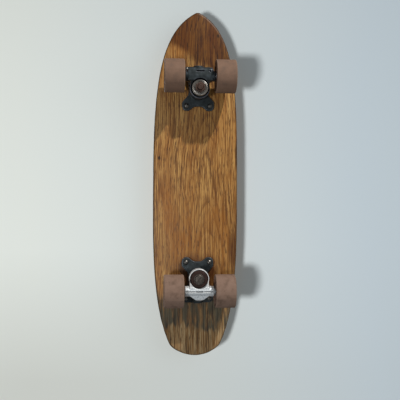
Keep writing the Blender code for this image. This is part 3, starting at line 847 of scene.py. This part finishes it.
class SKATEBOARD_OT_castings(bpy.types.Operator):
    """Round the base plates and hangers as castings are"""

    bl_idname = "skateboard.castings"
    bl_label = "Base plates and hangers"

    def execute(self, context):
        settings = context.scene.skateboard_trucks
        dark, bright = painted_casting(settings), bare_casting(settings)
        for truck in TRUCKS:
            plate = self.casting(f"{truck}_base_plate", f"{truck}_baseplate", settings.casting_cell)
            fit_out(plate, "root", f"{truck}_baseplate", dark)
            hanger = self.casting(f"{truck}_hanger_casting", f"{truck}_hanger", settings.casting_cell)
            finish = (dark, "dark_cast_metal") if truck == "front" else (bright, "bright_cast_metal")
            fit_out(hanger, f"{truck}_hanger", f"{truck}_hanger", finish[0])
        return {"FINISHED"}

    def casting(self, name, node, cell):
        obj = bpy.data.objects.new(name, FRAME["nodes"][node].data.copy())
        bpy.context.scene.collection.objects.link(obj)
        weld = obj.modifiers.new("Weld", "WELD")
        weld.merge_threshold = 0.00002
        settle(obj)
        if node == "front_hanger":
            corner = axle_place("front").translation + Vector((7.5 * MM, 16.5 * MM, -8.6 * MM))
            corner = Matrix.Translation(corner)
            combine(obj, turned("raised_ring", band(0, 2.9, 0, 3), 32, corner), "UNION")
            combine(obj, turned("grub_hole", band(0, 1.7, -1, 3), 32, corner))
        remesh = obj.modifiers.new("Casting", "REMESH")
        remesh.mode = "VOXEL"
        remesh.voxel_size = cell
        remesh.adaptivity = 0.0
        fillets = obj.modifiers.new("Fillets", "SMOOTH")
        fillets.factor = 0.5
        fillets.iterations = 4
        settle(obj)
        obj.data.shade_smooth()
        mark_edges(obj)
        return obj


class SKATEBOARD_OT_cushions(bpy.types.Operator):
    """Build the rubber cushions and pivot liners"""

    bl_idname = "skateboard.cushions"
    bl_label = "Cushions and pivot liners"

    def execute(self, context):
        settings = context.scene.skateboard_trucks
        black = moulded_rubber("moulded black rubber", settings.black_rubber, "#3A3734")
        red = moulded_rubber("moulded red rubber", settings.red_rubber, "#3C2620")
        rubbers = {"front": (black, "black_rubber"), "rear": (red, "red_rubber")}
        for truck in TRUCKS:
            place = kingpin_place(truck)
            rubber, slot = rubbers[truck]
            for piece in ("lower_cushion", "upper_cushion"):
                node = f"{truck}_{piece}"
                bottom, top, bore, widest = turned_size(node, place)
                profile = [(bore + 0.1, bottom + 0.1), (widest - 1.2, bottom + 0.1, 0.8)]
                for share in (0.2, 0.35, 0.5, 0.65, 0.8):
                    swell = math.sin(math.pi * share)
                    profile.append((widest - 0.75 + 0.7 * swell, bottom + share * (top - bottom)))
                profile += [(widest - 1.2, top - 0.1, 0.8), (bore + 0.1, top - 0.1)]
                cushion = turned(f"{truck}_{piece}_rubber", rounded(profile), 96, place)
                fit_out(cushion, None, node, rubber, 50)
                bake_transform(cushion)
            liner = FRAME["nodes"][f"{truck}_pivot_cup"]
            liner.data.materials.clear()
            liner.data.materials.append(black)
        return {"FINISHED"}


class SKATEBOARD_OT_kingpins(bpy.types.Operator):
    """Build the kingpins with their washers and nuts"""

    bl_idname = "skateboard.kingpins"
    bl_label = "Kingpins, washers and nuts"

    def execute(self, context):
        settings = context.scene.skateboard_hardware
        rust = steel("forged steel, rusted", settings.rust, settings.rust_dark, 1.1, 0.5, 0.6, metallic=0.6)
        oxide = steel("turned steel, oxidised", settings.oxide, "#2C2825", 1.6, 0.42, 0.5, metallic=0.8)
        worn = steel("pressed steel, scratched", settings.worn_steel, "#7D766E", 1.3, 0.28, 0.6)
        plated = steel("zinc-plated steel", settings.steel, "#7C7872", 1.5, 0.34, 0.4)

        place = kingpin_place("front")
        pin = turned(
            "front_kingpin_bolt",
            rounded(
                [(0, 31), (8, 31, 0.6), (8, 26.6, 0.3), (4.7, 26.6), (4.7, -22.6)]
                + [(r, -22.6 - 0.55 * step) for step in range(4) for r in (4.25, 4.7)]
                + [(4.7, -24.9), (3.9, -25.6, 0.3), (0, -25.6)]
            ),
            64,
            place,
        )
        fit_out(pin, "root", "front_kingpin", rust, 35)
        washer = turned(
            "front_dished_washer",
            rounded(
                [
                    (13.7, -14.6, 0.3),
                    (14, -16.3, 0.6),
                    (13.4, -17.6, 0.6),
                    (12.3, -17.0, 0.5),
                    (11.3, -17.9, 0.6),
                    (10.3, -17.8, 0.4),
                    (9.8, -16.3, 0.3),
                    (5.2, -16.2),
                    (5.2, -14.6),
                ]
            ),
            120,
            place,
        )
        fit_out(washer, "root", "front_cup_washer", worn, 50)
        nut = hexagon("front_kingpin_hex_nut", 9.2, -22.4, -16.5, 5.0, place, 0.9)
        fit_out(nut, "root", "front_kingpin_nut", rust)

        place = kingpin_place("rear")
        pin = turned(
            "rear_kingpin_bolt",
            rounded(
                [(0, 31.4), (4, 31.4, 0.3), (4.7, 30.6), (4.7, -16.2), (8.4, -16.2, 0.3), (8.4, -18, 0.9)]
                + [(7, -19.4, 0.9), (3.5, -19.75), (0, -19.8)]
            ),
            72,
        )
        slot = block("slot", (-20, -1.1, -22), (20, 1.1, -17.4))
        slot.data.transform(Matrix.Rotation(settings.slot_turn, 4, "Z"))
        combine(pin, slot)
        pin.data.transform(place)
        fit_out(pin, "root", "rear_kingpin", oxide, 35)
        washer = turned(
            "rear_cushion_washer",
            rounded([(9.4, -14.6, 0.3), (9.4, -15.9, 0.5), (5.2, -15.9), (5.2, -14.6)]),
            96,
            place,
        )
        fit_out(washer, "root", "rear_cup_washer", oxide, 50)
        nut = hexagon("rear_kingpin_hex_nut", 8.3, 26.6, 30.8, 5.0, place, 0.8)
        fit_out(nut, "root", "rear_kingpin_nut", plated)
        return {"FINISHED"}


class SKATEBOARD_OT_screws(bpy.types.Operator):
    """Build the eight wood screws that hold the base plates"""

    bl_idname = "skateboard.screws"
    bl_label = "Mounting screws"

    def execute(self, context):
        screw_steel = steel("screw steel, oxidised", "#8F8B85", "#4A4742", 1.2, 0.24, 0.4)
        for index, (truck, row, hand) in enumerate(
            (truck, row, hand) for truck in TRUCKS for row in ("outer", "inner") for hand in HANDS
        ):
            node = f"{truck}_screw_{row}_{hand}"
            low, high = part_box(node)
            reach = (high.x - low.x) / 2 / MM
            middle = Vector(((low.x + high.x) / 2, (low.y + high.y) / 2, low.z))
            height = (high.z - low.z) / MM
            head, shank = self.head_and_shank(node)
            profile = [(0, 0), (reach * 0.45, 0.12, 0.5), (reach * 0.85, head * 0.42, 0.6)]
            profile += [(reach, head * 0.92, 0.25), (reach, head, 0.1), (shank, head)]
            profile += [(shank, height - 1.0), (shank * 0.6, height), (0, height)]
            screw = turned(f"{truck}_wood_screw_{row}_{hand}", rounded(profile), 48)
            slot = block("slot", (-8, -0.55, -1), (8, 0.55, min(1.0, head * 0.6)))
            slot.data.transform(Matrix.Rotation(0.5 + 1.9 * index, 4, "Z"))
            combine(screw, slot)
            screw.data.transform(Matrix.Translation(middle))
            fit_out(screw, "root", node, screw_steel, 40)
        return {"FINISHED"}

    @staticmethod
    def head_and_shank(node):
        """Height of the head, the part near the screw's full reach, and radius of the shank."""
        points = points_of(node)
        height, middle = points[:, 2], points.mean(0)
        out = np.hypot(points[:, 0] - middle[0], points[:, 1] - middle[1])
        head = height[out > 0.93 * out.max()].max() - height.min()
        return head / MM, out[height > height.max() - 0.5 * MM].max() / MM


class SKATEBOARD_OT_axles(bpy.types.Operator):
    """Build the axles with threaded ends and their lock nuts"""

    bl_idname = "skateboard.axles"
    bl_label = "Axles and axle nuts"

    def execute(self, context):
        settings = context.scene.skateboard_hardware
        plated = steel("zinc-plated axle steel", settings.steel, "#77736D", 1.6, 0.32, 0.4)
        for truck in TRUCKS:
            reach, radius = half_size(f"{truck}_axle", "y"), half_size(f"{truck}_axle", "z")
            half = [(0, reach), (radius - 0.7, reach, 0.3), (radius, reach - 0.9)]
            for step in range(7):  # the thread's crests and roots
                height = reach - 1.2 - THREAD_PITCH * step
                half += [(radius, height), (radius - 0.5, height - THREAD_PITCH / 2)]
            half.append((radius, reach - 8.8))
            profile = rounded(half + [(r, -z, *rest) for r, z, *rest in reversed(half)])
            axle = turned(f"{truck}_axle_rod", profile, 48, axle_place(truck))
            fit_out(axle, f"{truck}_hanger", f"{truck}_axle", plated, 35)
            for hand in HANDS:
                node = f"{truck}_{hand}_axle_nut"
                place = axle_place(truck, hand)
                bottom, top, _, corner = turned_size(node, place)
                nut = hexagon(
                    f"{truck}_{hand}_lock_nut", corner, bottom, top - 1.5, radius + 0.25, place, 0.8
                )
                lock = turned(
                    "lock_collar",
                    rounded(
                        [(radius + 0.25, bottom + 1), (6.0, bottom + 1), (6.0, top - 0.5, 0.5)]
                        + [(5.3, top, 0.3), (radius + 0.25, top, 0.2)]
                    ),
                    48,
                    place,
                )
                combine(nut, lock, "UNION")
                fit_out(nut, f"{truck}_hanger", node, plated, 30)
        return {"FINISHED"}


class SKATEBOARD_OT_bearings(bpy.types.Operator):
    """Build the races, shields and caged balls of the eight bearings"""

    bl_idname = "skateboard.bearings"
    bl_label = "Bearings"

    def execute(self, context):
        settings = context.scene.skateboard_hardware
        ground = steel("ground bearing steel", settings.bearing, "#8F9194", 2.0, 0.22, 0.3)
        for truck in TRUCKS:
            for hand in HANDS:
                for end in BEARING_ENDS:
                    name = f"{truck}_{hand}_{end}"
                    place = axle_place(truck, hand, end)
                    half = half_size(f"{name}_outer_race", "y")
                    outer = [
                        (10.8, half, 0.5),
                        (10.8, -half, 0.4),
                        (9.65, -half, 0.3),
                        (9.65, half - 0.5),
                        (8.6, half - 0.75, 0.2),
                        (6.3, half - 0.75, 0.2),
                        (6.3, half - 0.3, 0.1),
                        (8.2, half - 0.3, 0.2),
                        (8.9, half - 0.05, 0.2),
                        (9.5, half - 0.05, 0.1),
                        (9.8, half, 0.05),
                    ]
                    race = turned(f"{name}_shielded_race", rounded(outer, 3), 72, place)
                    fit_out(race, f"{truck}_{hand}_wheel", f"{name}_outer_race", ground, 35)
                    inner = [(5.3, half, 0.3), (5.3, -half, 0.3), (4.15, -half, 0.2), (4.15, half, 0.2)]
                    race = turned(f"{name}_ground_race", rounded(inner, 3), 64, place)
                    fit_out(race, f"{truck}_hanger", f"{name}_inner_race", ground, 35)
                    cage = mesh_from(f"{name}_caged_balls", self.cage)
                    cage.data.transform(place)
                    fit_out(cage, f"{name}_ball_cage", f"{name}_ball_cage", ground, 35)
        return {"FINISHED"}

    @staticmethod
    def cage(bm):
        """Seven balls between two pressed ribbons that bow round each of them."""
        pitch, ball, count = 7.5 * MM, 1.9 * MM, BALL_COUNT
        for index in range(count):
            angle = 2 * math.pi * index / count
            place = Matrix.Translation((pitch * math.cos(angle), pitch * math.sin(angle), 0))
            bmesh.ops.create_uvsphere(bm, u_segments=16, v_segments=10, radius=ball, matrix=place)
        steps = 140
        for side in (1, -1):
            rings = []
            for step in range(steps):
                angle = 2 * math.pi * step / steps
                bow = max(0.0, math.cos(count * angle)) ** 1.4
                height = side * (0.25 + 1.75 * bow) * MM
                ring = [
                    bm.verts.new((r * math.cos(angle), r * math.sin(angle), height + side * lift * MM))
                    for r, lift in (
                        (pitch - 0.55 * MM, 0),
                        (pitch + 0.55 * MM, 0),
                        (pitch + 0.55 * MM, 0.25),
                        (pitch - 0.55 * MM, 0.25),
                    )
                ]
                rings.append(ring)
            for ring, after in zip(rings, rings[1:] + rings[:1]):
                for corner in range(4):
                    other = (corner + 1) % 4
                    bm.faces.new((ring[corner], ring[other], after[other], after[corner]))


class SKATEBOARD_OT_stage(bpy.types.Operator):
    """Set up the wall, floor, lights and camera"""

    bl_idname = "skateboard.stage"
    bl_label = "Stage"

    def execute(self, context):
        settings = context.scene.skateboard_stage
        wall_z = DECK_HIGH.z + settings.wall_gap
        wall = self.sheet("studio_wall", wall_z, down=True)
        wall.data.materials.append(stage_material("matt wall paint", settings.wall, settings.shaded_cool_wall))
        floor = self.sheet("studio_floor", 0.0, down=False)
        floor.data.materials.append(stage_material("matt floor paint", settings.floor, settings.floor))
        for surface in (wall, floor):
            surface.visible_shadow = False
            surface.visible_diffuse = False
            surface.visible_glossy = False

        middle = Vector((0, 0, DECK_LOW.z))
        key = middle + Vector((1.44, 0.72, -1.0)).normalized() * 2.0
        beside_camera = Vector((-0.26, -0.70, -1.55))
        window = Vector((0.4, 1.2, -1.3))
        above = Vector((0.5, -0.9, 1.9))
        # Name, place, power, size in metres, colour, and how the lamp treats the wall.
        for name, place, power, size, colour, on_wall in (
            ("key_light", key, settings.key_power, 0.06, (1.0, 0.985, 0.95), "EXCLUDE"),
            ("fill_light", beside_camera, settings.fill_power, 0.25, (0.95, 0.98, 1.0), None),
            ("wall_light", beside_camera, settings.wall_power, 0.25, (0.97, 0.985, 1.0), "INCLUDE"),
            ("window_light", window, settings.window_power, 1.6, (0.9, 0.96, 1.0), "INCLUDE"),
            ("top_light", above, settings.top_power, 1.4, (1.0, 0.99, 0.97), None),
        ):
            lamp = self.lamp(name, place, middle, power, size, colour)
            if on_wall:
                self.link(lamp, wall, on_wall)

        world = bpy.data.worlds.new("studio air")
        world.use_nodes = True
        sky = world.node_tree.nodes["Background"]
        sky.inputs["Color"].default_value = srgb("#E9F0F4")
        sky.inputs["Strength"].default_value = settings.sky
        context.scene.world = world
        context.scene.view_settings.view_transform = "Standard"

        camera_data = bpy.data.cameras.new("camera")
        camera_data.lens = settings.lens
        camera_data.sensor_width = SENSOR_WIDTH
        camera = bpy.data.objects.new("camera", camera_data)
        context.scene.collection.objects.link(camera)
        right, up = Vector(CAMERA_RIGHT), Vector(CAMERA_UP)
        back = right.cross(up).normalized()
        up = back.cross(right).normalized()
        turn = Matrix((right.normalized(), up, back)).transposed().to_4x4()
        camera.matrix_world = Matrix.Translation(CAMERA_PLACE) @ turn
        context.scene.camera = camera
        return {"FINISHED"}

    @staticmethod
    def sheet(name, height, down, reach=4.0):
        def build(bm):
            corners = [(-reach, -reach), (reach, -reach), (reach, reach), (-reach, reach)]
            bm.faces.new([bm.verts.new((x, y, height)) for x, y in corners])

        obj = mesh_from(name, build)
        if (obj.data.polygons[0].normal.z < 0) != down:
            obj.data.flip_normals()
        return obj

    @staticmethod
    def link(lamp, surface, state):
        """Lets the lamp light all but the surface, or nothing but it."""
        receivers = bpy.data.collections.new(f"{lamp.name} {state.lower()}")
        receivers.objects.link(surface)
        receivers.collection_objects[0].light_linking.link_state = state
        lamp.light_linking.receiver_collection = receivers

    @staticmethod
    def lamp(name, place, target, power, size, colour):
        data = bpy.data.lights.new(name, "AREA")
        data.energy = power
        data.shape = "DISK"
        data.size = size
        data.color = colour
        lamp = bpy.data.objects.new(name, data)
        lamp.location = place
        lamp.rotation_euler = (target - place).to_track_quat("-Z", "Y").to_euler()
        bpy.context.scene.collection.objects.link(lamp)
        return lamp


OPERATORS = (
    SKATEBOARD_OT_deck,
    SKATEBOARD_OT_wheels,
    SKATEBOARD_OT_castings,
    SKATEBOARD_OT_cushions,
    SKATEBOARD_OT_kingpins,
    SKATEBOARD_OT_screws,
    SKATEBOARD_OT_axles,
    SKATEBOARD_OT_bearings,
    SKATEBOARD_OT_stage,
)


class SKATEBOARD_PT_pieces(bpy.types.Panel):
    """Lists the pieces and their settings"""

    bl_label = "Skateboard"
    bl_space_type = "VIEW_3D"
    bl_region_type = "UI"
    bl_category = "Skateboard"

    def draw(self, context):
        for operator in OPERATORS:
            self.layout.operator(operator.bl_idname)
        for name, group in GROUPS.items():
            box = self.layout.box()
            box.label(text=group.__name__.replace("Skateboard", "").replace("Settings", ""))
            for field in group.__annotations__:
                box.prop(getattr(context.scene, name), field)


def register():
    for group in (*GROUPS.values(), *OPERATORS, SKATEBOARD_PT_pieces):
        bpy.utils.register_class(group)
    for name, group in GROUPS.items():
        setattr(bpy.types.Scene, name, bpy.props.PointerProperty(type=group))


def unregister():
    for name in GROUPS:
        delattr(bpy.types.Scene, name)
    for group in reversed((*GROUPS.values(), *OPERATORS, SKATEBOARD_PT_pieces)):
        bpy.utils.unregister_class(group)


def main():
    register()
    for operator in OPERATORS:
        area, call = operator.bl_idname.split(".")
        if getattr(getattr(bpy.ops, area), call)() != {"FINISHED"}:
            raise RuntimeError(f"{operator.bl_label} could not be built")


if __name__ == "__main__":
    main()
